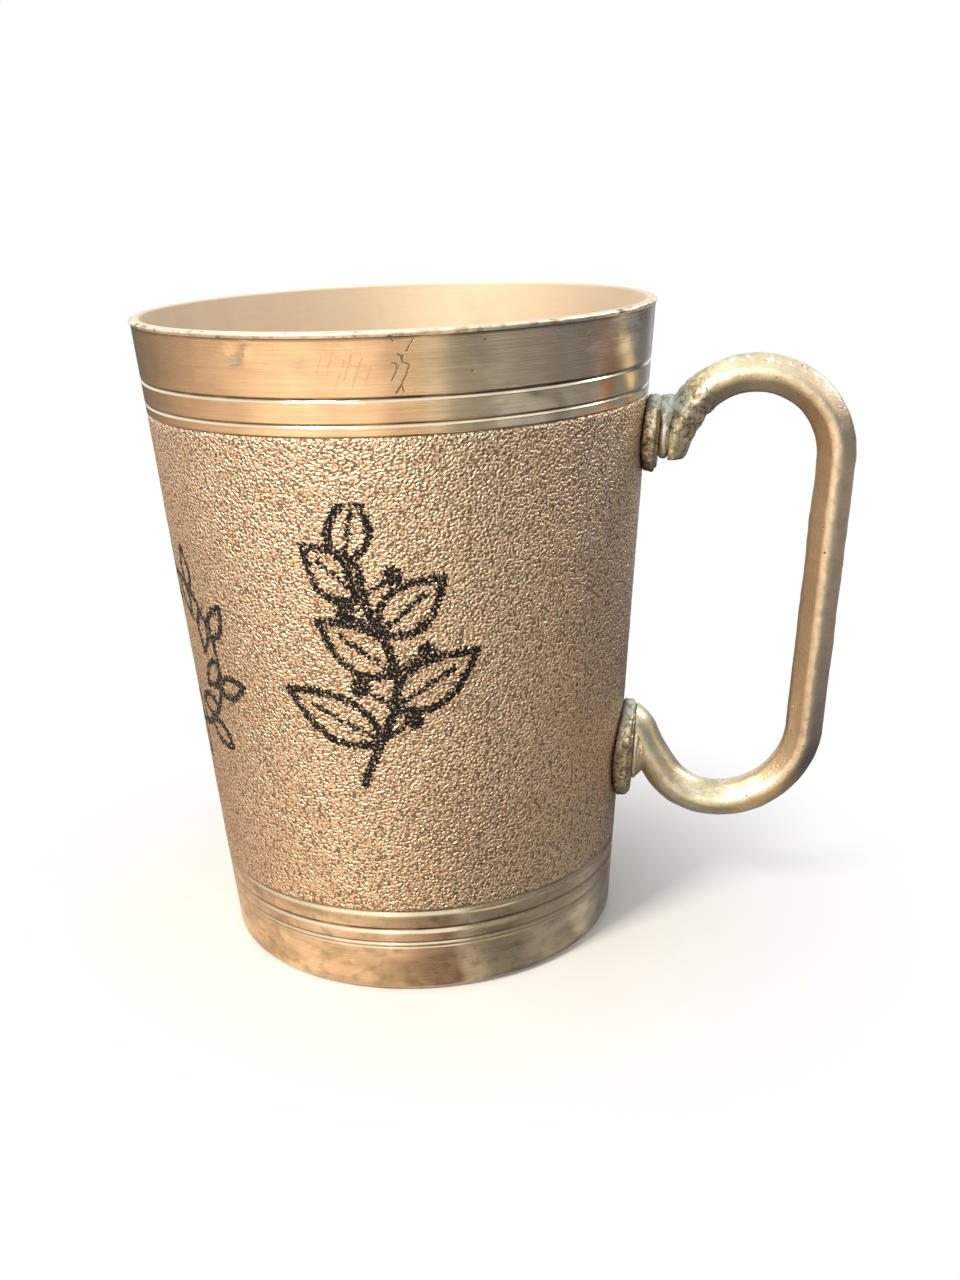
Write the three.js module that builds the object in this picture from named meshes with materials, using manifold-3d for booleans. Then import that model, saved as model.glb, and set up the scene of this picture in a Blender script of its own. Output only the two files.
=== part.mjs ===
// Aluminium drinking mug: a spun, tapered cup with turned lines, and a cast handle whose two feet
// stand on stacked washers and are held by rivets headed inside the cup.
// Millimetres, +Z up. The origin is the centre of the base, and the handle points along +X.
import * as THREE from "three";
import { mergeVertices } from "three/addons/utils/BufferGeometryUtils.js";
import Module from "manifold-3d";

const wasm = await Module();
wasm.setup();

// Cup: the tapered shell. The two diameters are those of the plain wall, outside.
const HEIGHT = 112;
const MOUTH_DIAMETER = 88.5;
const BASE_DIAMETER = 69.8;
const WALL = 1.6;
const FLOOR = 2.2;
const FLOOR_FILLET = 4;
const BASE_CORNER = 2;

// Lip: the rolled edge at the mouth, which stands proud of the wall.
const LIP_FLARE = 0.75;
const LIP_UNDERCUT = 0.6;

// Turned lines near the base: the plain foot band, then two rounded bands, counted up from the table.
const FOOT_BAND = 9.4;
const LOWER_BEAD = 2.8;
const UPPER_BEAD = 3.5;
const BEAD_GROOVE_DEPTH = 0.45;
const BEAD_SHOULDER = 1.1;
const BEAD_UNDERCUT = 0.4;

// Turned lines near the mouth: the plain rim band, then two narrow bands, counted down from the mouth.
const RIM_BAND = 9.9;
const MIDDLE_BAND = 3.8;
const NARROW_BAND = 1.9;
const LINE_WIDTH = 0.9;
const LINE_DEPTH = 0.35;

// Handle: a rod with flattened sides, measured along and out from the slope of the wall.
const UPPER_RIVET_BELOW_MOUTH = 22.5;
const RIVET_SPACING = 57.6;
const GRIP_REACH = 32.2;
const ROD_THICKNESS = 6.7;
const ROD_WIDTH = 7.6;
const ROD_CORNER = 2.4;
const FOOT_STANDOFF = 1.1;
const UPPER_BEND_DROP = 2.1;
const UPPER_TAIL = 0.4;
const UPPER_TIP = 1.8;
const UPPER_TIP_INSET = 0.4;
const LOWEST_REACH = 16.75;
const LOWEST_DROP = 8.1;
const LOWER_FOOT_BEND = 11.3;
const LOWER_FOOT_LEAN = 37;

// Washers between the wall and each foot: a broad flange, then a smaller collar.
const UPPER_FLANGE_DIAMETER = 13.4;
const LOWER_FLANGE_DIAMETER = 17.8;
const FLANGE_THICKNESS = 2;
const FLANGE_CHAMFER = 0.5;
const UPPER_COLLAR_DIAMETER = 8.6;
const LOWER_COLLAR_DIAMETER = 11.2;
const COLLAR_THICKNESS = 1.4;
const COLLAR_CHAMFER = 0.25;

// Rivets: domed head inside the cup, shank through the wall and washers into a socket in the foot.
const RIVET_DIAMETER = 4;
const RIVET_HEAD_DIAMETER = 9;
const RIVET_HEAD_HEIGHT = 1.8;
const RIVET_TIP_CHAMFER = 0.4;
const SOCKET_DEPTH = 2.8;

// Clearances between pieces that touch, and how finely the round shapes are divided.
const SEAT_GAP = 0.25;
const BORE_GAP = 0.25;
const CUP_SIDES = 60;
const WASHER_SIDES = 40;
const RIVET_SIDES = 24;
const ROD_STEPS = 66;
const ARC_DIVISIONS = 3;
const WELD_DISTANCE = 0.001;

// Finishes: warm-toned aluminium, brightest where it is turned and dullest where it is left as cast.
const spunCup = new THREE.MeshStandardMaterial({ color: 0xc6aa82, roughness: 0.32, metalness: 1 });
const castHandle = new THREE.MeshStandardMaterial({ color: 0xb89c72, roughness: 0.42, metalness: 1 });
const castFlange = new THREE.MeshStandardMaterial({ color: 0x9c8763, roughness: 0.55, metalness: 0.9 });
const turnedCollar = new THREE.MeshStandardMaterial({ color: 0xc9b596, roughness: 0.3, metalness: 1 });
const headedRivet = new THREE.MeshStandardMaterial({ color: 0xbfae92, roughness: 0.35, metalness: 1 });

// Slope of the wall, and its outer and inner radius at a height above the table.
const taper = Math.atan((MOUTH_DIAMETER - BASE_DIAMETER) / 2 / HEIGHT);
const wallAcross = WALL / Math.cos(taper);
const outerRadius = (z) => BASE_DIAMETER / 2 + Math.tan(taper) * z;
const innerRadius = (z) => outerRadius(z) - wallAcross;

// Places along a foot's axis, out from the wall: each piece starts one seat gap after the last.
const flangeBack = SEAT_GAP;
const flangeFace = flangeBack + FLANGE_THICKNESS;
const collarBack = flangeFace + SEAT_GAP;
const collarFace = collarBack + COLLAR_THICKNESS;
const footFace = collarFace + SEAT_GAP;
const footReach = footFace + FOOT_STANDOFF;
const boreRadius = RIVET_DIAMETER / 2 + BORE_GAP;

// The two feet, along the slope from the upper rivet. The upper foot stands on its collar with a flat
// face, and the lower one leans in over its collar and is cut flush with the flange.
const feet = {
  upper: {
    along: 0,
    seat: footFace,
    flange: UPPER_FLANGE_DIAMETER / 2,
    collar: UPPER_COLLAR_DIAMETER / 2,
  },
  lower: {
    along: -RIVET_SPACING,
    seat: collarBack,
    flange: LOWER_FLANGE_DIAMETER / 2,
    collar: LOWER_COLLAR_DIAMETER / 2,
  },
};

// A closed geometry as a solid for joining and cutting, and back again.
function solidOf(geometry) {
  const bare = geometry.clone();
  bare.deleteAttribute("normal");
  bare.deleteAttribute("uv");
  const merged = mergeVertices(bare, WELD_DISTANCE);
  const vertProperties = new Float32Array(merged.attributes.position.array);
  const triVerts = new Uint32Array(merged.index.array);
  return new wasm.Manifold(new wasm.Mesh({ numProp: 3, vertProperties, triVerts }));
}

function geometryOf(solid) {
  const mesh = solid.getMesh();
  const geometry = new THREE.BufferGeometry();
  geometry.setAttribute("position", new THREE.BufferAttribute(mesh.vertProperties, 3));
  geometry.setIndex(new THREE.BufferAttribute(mesh.triVerts, 1));
  geometry.computeVertexNormals();
  return geometry;
}

function namedMesh(name, geometry, material) {
  const mesh = new THREE.Mesh(geometry, material);
  mesh.name = name;
  return mesh;
}

// A turned shape about a foot's axis, which points out from the wall along +X.
function turnedOnFootAxis(path, sides) {
  return new THREE.LatheGeometry(path.getPoints(ARC_DIVISIONS), sides).rotateZ(-Math.PI / 2);
}

// A plain round bar along a foot's axis, for cutting bores and seats.
function barOnFootAxis(radius, from, to, sides) {
  return new THREE.CylinderGeometry(radius, radius, to - from, sides)
    .rotateZ(-Math.PI / 2)
    .translate((from + to) / 2, 0, 0);
}

// The frame of the handle: its origin is on the wall at the upper rivet, +X leaves the wall
// squarely and +Z climbs the slope.
const handleFrame = new THREE.Group();
const upperRivetHeight = HEIGHT - UPPER_RIVET_BELOW_MOUTH;
handleFrame.position.set(outerRadius(upperRivetHeight), 0, upperRivetHeight);
handleFrame.rotation.y = taper;
handleFrame.updateMatrix();

// One asymmetric groove: a short undercut above and a long shoulder below, as on a turned bead.
function beadGroove(profile, z) {
  profile.lineTo(outerRadius(z - BEAD_SHOULDER), z - BEAD_SHOULDER);
  profile.lineTo(outerRadius(z) - BEAD_GROOVE_DEPTH, z);
  profile.lineTo(outerRadius(z + BEAD_UNDERCUT), z + BEAD_UNDERCUT);
}

// One plain V-shaped line.
function scribedLine(profile, z) {
  profile.lineTo(outerRadius(z - LINE_WIDTH / 2), z - LINE_WIDTH / 2);
  profile.lineTo(outerRadius(z) - LINE_DEPTH, z);
  profile.lineTo(outerRadius(z + LINE_WIDTH / 2), z + LINE_WIDTH / 2);
}

// The half section of the cup: out along the base, up the wall, over the lip, down inside to the floor.
function cupProfile() {
  const profile = new THREE.Path();
  const cornerCentre = outerRadius(BASE_CORNER) - BASE_CORNER / Math.cos(taper);
  profile.moveTo(0, 0);
  profile.lineTo(cornerCentre, 0);
  profile.absarc(cornerCentre, BASE_CORNER, BASE_CORNER, -Math.PI / 2, -taper, false);

  for (const z of [FOOT_BAND, FOOT_BAND + LOWER_BEAD, FOOT_BAND + LOWER_BEAD + UPPER_BEAD])
    beadGroove(profile, z);
  const rimLine = HEIGHT - RIM_BAND;
  for (const z of [rimLine - MIDDLE_BAND - NARROW_BAND, rimLine - MIDDLE_BAND, rimLine])
    scribedLine(profile, z);

  const lipRadius = (wallAcross + LIP_FLARE) / 2;
  const lipHeight = HEIGHT - lipRadius;
  const lipCentre = innerRadius(lipHeight) + lipRadius;
  profile.lineTo(outerRadius(lipHeight - LIP_UNDERCUT), lipHeight - LIP_UNDERCUT);
  profile.absarc(lipCentre, lipHeight, lipRadius, 0, Math.PI, false);

  const filletHeight = FLOOR + FLOOR_FILLET;
  const filletCentre = innerRadius(filletHeight) - FLOOR_FILLET / Math.cos(taper);
  profile.absarc(filletCentre, filletHeight, FLOOR_FILLET, -taper, -Math.PI / 2, true);
  profile.lineTo(0, FLOOR);
  return profile;
}

// The cup, with a hole for each rivet, drilled deep enough to clear the hollow of the wall.
function makeCup() {
  const drillDepth = 3 * WALL;
  const shell = new THREE.LatheGeometry(cupProfile().getPoints(ARC_DIVISIONS), CUP_SIDES);
  let cup = solidOf(shell.rotateX(Math.PI / 2));
  for (const foot of Object.values(feet)) {
    const drill = barOnFootAxis(boreRadius, -drillDepth, flangeFace, RIVET_SIDES);
    drill.translate(0, 0, foot.along).applyMatrix4(handleFrame.matrix);
    cup = cup.subtract(solidOf(drill));
  }
  return namedMesh("mug_body", geometryOf(cup), spunCup);
}

// The middle line of the handle, from the tip of the upper foot to past the end of the lower one, which
// runs on until the whole rod is behind the face of the flange.
class HandleLine extends THREE.Curve {
  constructor() {
    super();
    const upperBend = (GRIP_REACH - footReach) / 2;
    const gripBend = GRIP_REACH - LOWEST_REACH;
    const lowest = -RIVET_SPACING - LOWEST_DROP;
    const lean = THREE.MathUtils.degToRad(LOWER_FOOT_LEAN);
    const bendEndReach = LOWEST_REACH - LOWER_FOOT_BEND * Math.cos(lean);
    const bendEndAlong = lowest + LOWER_FOOT_BEND * (1 - Math.sin(lean));
    const endReach = flangeFace - ROD_THICKNESS / 2;
    const endAlong = bendEndAlong + (bendEndReach - endReach) / Math.tan(lean);

    this.path = new THREE.Path();
    this.path.moveTo(footReach, -UPPER_BEND_DROP - UPPER_TAIL);
    this.path.lineTo(footReach, -UPPER_BEND_DROP);
    this.path.absarc(footReach + upperBend, -UPPER_BEND_DROP, upperBend, Math.PI, 0, true);
    this.path.absarc(LOWEST_REACH, lowest + gripBend, gripBend, 0, -Math.PI / 2, true);
    const bendCentre = lowest + LOWER_FOOT_BEND;
    this.path.absarc(LOWEST_REACH, bendCentre, LOWER_FOOT_BEND, -Math.PI / 2, lean - Math.PI, true);
    this.path.lineTo(endReach, endAlong);
  }
  getPoint(t, target = new THREE.Vector3()) {
    const point = this.path.getPoint(t);
    return target.set(point.x, 0, point.y);
  }
}

// The rod's section: flat sides with rounded corners, wide across the handle.
function rodSection() {
  const x = ROD_WIDTH / 2 - ROD_CORNER;
  const y = ROD_THICKNESS / 2 - ROD_CORNER;
  const section = new THREE.Shape();
  section.moveTo(x, -y - ROD_CORNER);
  section.absarc(x, -y, ROD_CORNER, -Math.PI / 2, 0, false);
  section.absarc(x, y, ROD_CORNER, 0, Math.PI / 2, false);
  section.absarc(-x, y, ROD_CORNER, Math.PI / 2, Math.PI, false);
  section.absarc(-x, -y, ROD_CORNER, Math.PI, 1.5 * Math.PI, false);
  return section;
}

// The handle: the rod with a rounded upper tip, cut where each foot sits on its flange and collar and
// drilled for its rivet. The seat cut is twice as wide as the flange, so that it trims the whole foot.
function makeHandle() {
  const line = new HandleLine();
  const rod = new THREE.ExtrudeGeometry(rodSection(), {
    steps: ROD_STEPS,
    curveSegments: ARC_DIVISIONS,
    extrudePath: line,
  });
  const tip = new THREE.SphereGeometry(1, WASHER_SIDES / 2, WASHER_SIDES / 2);
  tip.scale(footReach + ROD_THICKNESS / 2 - flangeFace, ROD_WIDTH / 2 - UPPER_TIP_INSET, UPPER_TIP);
  tip.translate(flangeFace, 0, line.getPoint(0).z);
  let handle = solidOf(rod).add(solidOf(tip));
  for (const foot of Object.values(feet)) {
    const seatCut = 2 * foot.flange;
    const cuts = [
      barOnFootAxis(seatCut, -seatCut, foot.seat, WASHER_SIDES),
      barOnFootAxis(foot.collar + BORE_GAP, 0, footFace, WASHER_SIDES),
      barOnFootAxis(boreRadius, 0, footFace + SOCKET_DEPTH, RIVET_SIDES),
    ];
    for (const cut of cuts) handle = handle.subtract(solidOf(cut.translate(0, 0, foot.along)));
  }
  return namedMesh("handle", geometryOf(handle), castHandle);
}

// A washer with a rivet bore and both outer edges chamfered, from one place on the foot's axis to another.
function makeWasher(name, radius, back, face, chamfer, material) {
  const section = new THREE.Path();
  section.moveTo(boreRadius, back);
  section.lineTo(radius - chamfer, back);
  section.lineTo(radius, back + chamfer);
  section.lineTo(radius, face - chamfer);
  section.lineTo(radius - chamfer, face);
  section.lineTo(boreRadius, face);
  section.lineTo(boreRadius, back);
  return namedMesh(name, turnedOnFootAxis(section, WASHER_SIDES), material);
}

// A rivet: the head seats inside the cup, clear of the hollow curve of the wall under its edge.
function makeRivet(name, foot) {
  const headRadius = RIVET_HEAD_DIAMETER / 2;
  const shankRadius = RIVET_DIAMETER / 2;
  const height = upperRivetHeight + foot.along * Math.cos(taper);
  const wallCurve = innerRadius(height - headRadius);
  const hollow = wallCurve - Math.sqrt(wallCurve ** 2 - headRadius ** 2);
  const seat = -WALL - hollow - SEAT_GAP;
  const tip = footFace + SOCKET_DEPTH - SEAT_GAP;
  const domeRadius = (headRadius ** 2 + RIVET_HEAD_HEIGHT ** 2) / (2 * RIVET_HEAD_HEIGHT);
  const domeAngle = Math.asin(headRadius / domeRadius);
  const domeCentre = seat - RIVET_HEAD_HEIGHT + domeRadius;

  const section = new THREE.Path();
  section.moveTo(0, seat - RIVET_HEAD_HEIGHT);
  section.absarc(0, domeCentre, domeRadius, -Math.PI / 2, -Math.PI / 2 + domeAngle, false);
  section.lineTo(shankRadius, seat);
  section.lineTo(shankRadius, tip - RIVET_TIP_CHAMFER);
  section.lineTo(shankRadius - RIVET_TIP_CHAMFER, tip);
  section.lineTo(0, tip);
  return namedMesh(name, turnedOnFootAxis(section, RIVET_SIDES), headedRivet);
}

const mug = new THREE.Group();
mug.add(makeCup());
mug.add(handleFrame);
handleFrame.add(makeHandle());
for (const [place, foot] of Object.entries(feet)) {
  const stack = new THREE.Group();
  stack.position.z = foot.along;
  const { flange, collar } = foot;
  stack.add(makeWasher(`${place}_flange`, flange, flangeBack, flangeFace, FLANGE_CHAMFER, castFlange));
  stack.add(makeWasher(`${place}_collar`, collar, collarBack, collarFace, COLLAR_CHAMFER, turnedCollar));
  stack.add(makeRivet(`${place}_rivet`, foot));
  handleFrame.add(stack);
}

export default mug;
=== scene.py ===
from math import atan, cos, pi, radians, sin, tan

import bpy
import numpy as np
from mathutils import Matrix, Vector, noise


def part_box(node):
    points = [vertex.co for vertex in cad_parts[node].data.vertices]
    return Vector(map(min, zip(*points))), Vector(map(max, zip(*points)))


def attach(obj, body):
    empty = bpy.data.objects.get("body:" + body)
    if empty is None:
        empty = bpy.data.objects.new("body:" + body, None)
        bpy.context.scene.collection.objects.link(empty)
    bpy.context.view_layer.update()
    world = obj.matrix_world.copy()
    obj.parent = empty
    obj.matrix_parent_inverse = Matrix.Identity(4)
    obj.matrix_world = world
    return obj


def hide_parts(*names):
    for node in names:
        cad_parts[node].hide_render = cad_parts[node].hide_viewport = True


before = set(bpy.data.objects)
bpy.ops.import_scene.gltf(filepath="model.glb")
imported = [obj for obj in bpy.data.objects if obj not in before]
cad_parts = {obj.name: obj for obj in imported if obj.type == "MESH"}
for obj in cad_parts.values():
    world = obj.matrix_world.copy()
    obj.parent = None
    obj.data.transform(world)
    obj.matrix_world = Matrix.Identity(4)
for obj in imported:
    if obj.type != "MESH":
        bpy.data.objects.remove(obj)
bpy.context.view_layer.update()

# Viewpoint: the photograph looks a little down on the rim, with the handle turned slightly towards the
# lens. Lens, stand and tilt come from a fit to the mug's rim, base and turned lines.
PHOTO_HEIGHT = 1280
LENS_IN_PIXELS = 1511
FILM_SIDE = 36
STAND_TURN = radians(12)
STAND_DISTANCE = 0.2629
STAND_HEIGHT = 0.1342
AIM_TURN = radians(-2.69)
AIM_TILT = radians(-17.51)
AIM_ROLL = radians(-2.22)

lens = bpy.data.cameras.new("photo_lens")
lens.sensor_width = FILM_SIDE
lens.lens = FILM_SIDE * LENS_IN_PIXELS / PHOTO_HEIGHT
lens.clip_start = 0.01
camera = bpy.data.objects.new("photo_camera", lens)
camera.matrix_world = (
    Matrix.Rotation(STAND_TURN, 4, "Z")
    @ Matrix.Translation((0, -STAND_DISTANCE, STAND_HEIGHT))
    @ Matrix.Rotation(AIM_TURN, 4, "Z")
    @ Matrix.Rotation(pi / 2 + AIM_TILT, 4, "X")
    @ Matrix.Rotation(AIM_ROLL, 4, "Z")
)
scene = bpy.context.scene
scene.collection.objects.link(camera)
scene.camera = camera
scene.view_settings.view_transform = "Standard"


# Table and light: a plain pale table that fades to white away from the mug, in a white room, with a broad
# soft lamp overhead, a small warm one on the left, a narrow strip in front and a cool one on the right that
# lights only the metal. The mat, cards and screen show only in the metal.
FLOOR_SIDE = 6.0
FLOOR_COLOUR = (0.86, 0.86, 0.86, 1)
FADE_START = 0.02
FADE_END = 0.1
ROOM_WHITE = 1.0
ROOM_FILL = 0.42

# The mat: its rings, how near the cup each one counts as, and its shades by direction in degrees.
MAT_HEIGHT = 0.0004
MAT_COLUMNS = 181
MAT_RINGS = (0.0346, 0.055, 0.08, 0.13, 0.19, 0.24, 1.6)
MAT_NEAR = (0.05, 0.45, 0.9, 0.9, 0.7, 0, 0)
MAT_SHADES = (
    (-262, 0.26, 0.21, 0.18),
    (-210, 0.47, 0.38, 0.31),
    (-177, 0.68, 0.55, 0.46),
    (-150, 0.7, 0.58, 0.48),
    (-134, 0.8, 0.67, 0.56),
    (-118, 0.82, 0.72, 0.62),
    (-104, 0.76, 0.63, 0.54),
    (-95, 0.82, 0.71, 0.61),
    (-87, 0.8, 0.67, 0.57),
    (-79, 0.51, 0.42, 0.36),
    (-69, 0.41, 0.34, 0.29),
    (-67, 0.7, 0.7, 0.68),
    (-61, 0.64, 0.65, 0.64),
    (-59, 0.44, 0.47, 0.45),
    (-50, 0.34, 0.38, 0.39),
    (-38, 0.55, 0.59, 0.6),
    (-30, 0.55, 0.59, 0.6),
    (-14, 0.45, 0.48, 0.5),
    (5, 0.37, 0.4, 0.44),
    (15, 0.39, 0.4, 0.43),
    (17, 0.66, 0.46, 0.47),
    (23, 0.63, 0.45, 0.46),
    (25, 0.41, 0.45, 0.49),
    (36, 0.45, 0.48, 0.52),
    (44, 0.52, 0.57, 0.62),
    (52, 0.41, 0.45, 0.49),
    (66, 0.4, 0.43, 0.46),
    (73, 0.84, 0.88, 0.92),
    (80, 0.84, 0.88, 0.92),
    (87, 0.36, 0.36, 0.36),
    (98, 0.26, 0.21, 0.18),
)

# Towards the right the mat is clouded, and near the cup it has a painted shadow of the cup, deep towards the
# right and light at the left.
RIGHT_TURNS = (-95.32, -65.08)
RIGHT_DARK = (0.14, 0.86)
LEFT_TURNS = (-118, -138.16)
LEFT_DARK = 0.42
NEAR_SHADE = (0, 0.05, 0.2, 1)
CLOUD_SIZE = 1 / 13
CLOUD_EDGE = (0.5, 0.54)
CLOUD_LEVELS = (1.4, 0.66)

# Cards that lie on the mat: name, corners and colour.
CARD_HEIGHT = 0.0006
CARDS = (
    ("under_card", ((0.06, 0.008), (0.086, 0.008), (0.084, -0.045), (0.058, -0.045)), (0.5, 0.44, 0.34, 1)),
    ("near_card", ((0.04, -0.045), (0.08, -0.045), (0.093, -0.16), (0.058, -0.16)), (0.84, 0.73, 0.54, 1)),
    ("far_card", ((0.058, -0.16), (0.093, -0.16), (0.118, -0.38), (0.074, -0.38)), (0.9, 0.82, 0.6, 1)),
)
SCREEN_TURNS = (-58, 62)
SCREEN_COLUMNS = 40
SCREEN_RADIUS = 0.72
SCREEN_EDGES = (0.001, 0.28)
SCREEN_COLOUR = (0.16, 0.18, 0.2, 1)

# Lamps: name, place, height of the aim, width and height, watts, colour, and whether the table is lit too.
LAMPS = (
    ("overhead_lamp", (0, 0.15, 0.9), 0.05, (0.6, 0.6), 0.3, (1, 0.98, 0.94), True),
    ("left_lamp", (-0.26, -0.45, 0.5), 0.06, (0.15, 0.15), 5.0, (1, 0.92, 0.79), True),
    ("front_strip", (-0.084, -0.594, 0.26), 0.06, (0.022, 0.42), 0.2, (1, 0.96, 0.88), True),
    ("right_lamp", (0.45, 0.2, 0.36), 0.06, (0.08, 0.08), 0.65, (0.9, 0.96, 1), False),
)


def set_sockets(node, inputs):
    """Sets a node's sockets to values, or joins them to other sockets."""
    for name, value in inputs.items():
        if isinstance(value, bpy.types.NodeSocket):
            node.id_data.links.new(value, node.inputs[name])
        else:
            node.inputs[name].default_value = value


def add_node(tree, kind, inputs=(), **settings):
    """A shader node with its settings made and its sockets set."""
    node = tree.nodes.new("ShaderNode" + kind)
    for name, value in settings.items():
        setattr(node, name, value)
    set_sockets(node, dict(inputs))
    return node


def place_on(tree):
    """Position on the piece, in metres."""
    return add_node(tree, "TexCoord").outputs["Object"]


def ramp(value, low, high, start=0.0, end=1.0):
    """A value spread from start to end as it goes from low to high."""
    inputs = {"Value": value, "From Min": low, "From Max": high, "To Min": start, "To Max": end}
    return add_node(value.id_data, "MapRange", inputs).outputs[0]


def sums(operation, first, second=0.0):
    """A sum worked out on one value or two."""
    return add_node(first.id_data, "Math", {0: first, 1: second}, operation=operation).outputs[0]


def times(first, second):
    """One value times another."""
    return sums("MULTIPLY", first, second)


def vectors(operation, first, second, output="Vector"):
    """A sum worked out on two vectors or colours."""
    sockets = {0: first, 1: second}
    return add_node(first.id_data, "VectorMath", sockets, operation=operation).outputs[output]


def mixed(share, first, second):
    """Two colours mixed by a share from 0 to 1."""
    sockets = {0: share, 6: first, 7: second}
    return add_node(share.id_data, "Mix", sockets, data_type="RGBA").outputs[2]


def painted(tree, name):
    """The value that the mesh holds under a name."""
    return add_node(tree, "Attribute", attribute_name=name).outputs["Fac"]


def grain(tree, size, stretch=(1, 1, 1), detail=2.0, twist=0.0):
    """Noise from 0 to 1 with lumps of about the given size in metres, longer where stretch is above 1."""
    scale = [1 / (size * s) for s in stretch]
    mapped = add_node(tree, "Mapping", {"Vector": place_on(tree), "Scale": scale})
    inputs = {"Vector": mapped.outputs[0], "Scale": 1.0, "Detail": detail, "Distortion": twist}
    return add_node(tree, "TexNoise", inputs).outputs["Fac"]


def new_material(name):
    """A material with an empty tree, and its Principled shader joined to the output."""
    material = bpy.data.materials.new(name)
    material.use_nodes = True
    tree = material.node_tree
    tree.nodes.clear()
    shader = add_node(tree, "BsdfPrincipled")
    add_node(tree, "OutputMaterial", {"Surface": shader.outputs[0]})
    return material, tree, shader


def mesh_piece(name, points, faces, smooth=True):
    """An object from points and faces, in metres, in the frame of the CAD."""
    mesh = bpy.data.meshes.new(name)
    mesh.from_pydata([tuple(p) for p in points], [], faces)
    mesh.polygons.foreach_set("use_smooth", [smooth] * len(mesh.polygons))
    mesh.update()
    piece = bpy.data.objects.new(name, mesh)
    scene.collection.objects.link(piece)
    return piece


def add_values(piece, name, values):
    """One number for each vertex, which the piece's materials read by name."""
    values = np.asarray(values, dtype=np.float32)
    piece.data.attributes.new(name, "FLOAT", "POINT").data.foreach_set("value", values)


def seen_rays(tree):
    """1 for the rays that show the background: straight to the camera, or by way of metal."""
    path = add_node(tree, "LightPath").outputs
    return sums("MAXIMUM", path["Is Camera Ray"], path["Is Glossy Ray"])


def round_sheet(turns, rows):
    """Points and faces of a sheet swept round the cup's axis, from (radius, height) rows."""
    points = []
    faces = []
    for turn in np.radians(turns):
        start = len(points)
        points += [(r * cos(turn), r * sin(turn), z) for r, z in rows]
        for here in range(start, start + len(rows) - 1) if start else ():
            beside = here - len(rows)
            faces.append((beside, beside + 1, here + 1, here))
    return points, faces


def mirrored_only(name, points, faces, colour):
    """A flat piece of the set that shows in the metal and nowhere else."""
    piece = mesh_piece(name, points, faces, smooth=False)
    material, tree, shader = new_material(name)
    set_sockets(shader, {"Base Color": colour, "Roughness": 1, "Specular IOR Level": 0})
    piece.data.materials.append(material)
    piece.visible_camera = False
    piece.visible_diffuse = False
    piece.visible_shadow = False
    return piece, tree, shader


half = FLOOR_SIDE / 2
floor_corners = [(-half, -half, 0), (half, -half, 0), (half, half, 0), (-half, half, 0)]
floor = mesh_piece("table_top", floor_corners, [(0, 1, 2, 3)], smooth=False)
floor_material, floor_tree, floor_shader = new_material("pale_table")
set_sockets(floor_shader, {"Base Color": FLOOR_COLOUR, "Roughness": 0.8, "Specular IOR Level": 0.1})
away = vectors("LENGTH", place_on(floor_tree), (0, 0, 0), "Value")
fade = {"Value": away, "From Min": FADE_START, "From Max": FADE_END}
fade = add_node(floor_tree, "MapRange", fade, interpolation_type="SMOOTHSTEP").outputs[0]
fade = times(fade, seen_rays(floor_tree))
white = add_node(floor_tree, "Emission", {"Strength": ROOM_WHITE}).outputs[0]
faded = add_node(floor_tree, "MixShader", {0: fade, 1: floor_shader.outputs[0], 2: white})
set_sockets(floor_tree.nodes["Material Output"], {"Surface": faded.outputs[0]})
floor.data.materials.append(floor_material)

mat_first, mat_last = MAT_SHADES[0][0], MAT_SHADES[-1][0]


def mat_part(turn):
    """How far round the mat a direction in degrees is, from 0 to 1."""
    return (turn - mat_first) / (mat_last - mat_first)


mat_turns = np.linspace(mat_first, mat_last, MAT_COLUMNS)
mat_sheet = round_sheet(mat_turns, [(radius, MAT_HEIGHT) for radius in MAT_RINGS])
mat, mat_tree, mat_shader = mirrored_only("mirrored_mat", *mat_sheet, FLOOR_COLOUR)
add_values(mat, "turn", np.repeat(mat_part(mat_turns), len(MAT_RINGS)))
add_values(mat, "near", np.tile(MAT_NEAR, len(mat_turns)))
mat_share = painted(mat_tree, "turn")
mat_ramp = add_node(mat_tree, "ValToRGB", {"Fac": mat_share})
mat_stops = mat_ramp.color_ramp.elements
mat_stops[0].color = (*MAT_SHADES[0][1:], 1)
mat_stops[1].color = (*MAT_SHADES[-1][1:], 1)
for turn, *shade in MAT_SHADES[1:-1]:
    mat_stops.new(mat_part(turn)).color = (*shade, 1)
clouds = ramp(grain(mat_tree, CLOUD_SIZE, detail=3), *CLOUD_EDGE, *CLOUD_LEVELS)
on_right = ramp(mat_share, *[mat_part(turn) for turn in RIGHT_TURNS])
on_left = ramp(mat_share, *[mat_part(turn) for turn in LEFT_TURNS], 0, LEFT_DARK)
mat_level = add_node(mat_tree, "Mix", {0: on_right, 2: 1.0, 3: clouds}).outputs[0]
# A painted shadow of the cup on the mat near it.
painted_cup_shadow = sums("MAXIMUM", ramp(on_right, 0, 1, *RIGHT_DARK), on_left)
painted_cup_shadow = times(painted_cup_shadow, painted(mat_tree, "near"))
mat_tint = {0: mat_ramp.outputs["Color"], "Scale": mat_level}
mat_tint = add_node(mat_tree, "VectorMath", mat_tint, operation="SCALE").outputs[0]
mat_tint = vectors("MULTIPLY", mat_tint, mixed(painted_cup_shadow, (1, 1, 1, 1), NEAR_SHADE))
set_sockets(mat_shader, {"Base Color": mat_tint})
for name, corners, colour in CARDS:
    mirrored_only(name, [(x, y, CARD_HEIGHT) for x, y in corners], [(3, 2, 1, 0)], colour)
screen_turns = np.linspace(*SCREEN_TURNS, SCREEN_COLUMNS)
screen_sheet = round_sheet(screen_turns, [(SCREEN_RADIUS, height) for height in SCREEN_EDGES])
mirrored_only("mirrored_screen", *screen_sheet, SCREEN_COLOUR)

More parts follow.
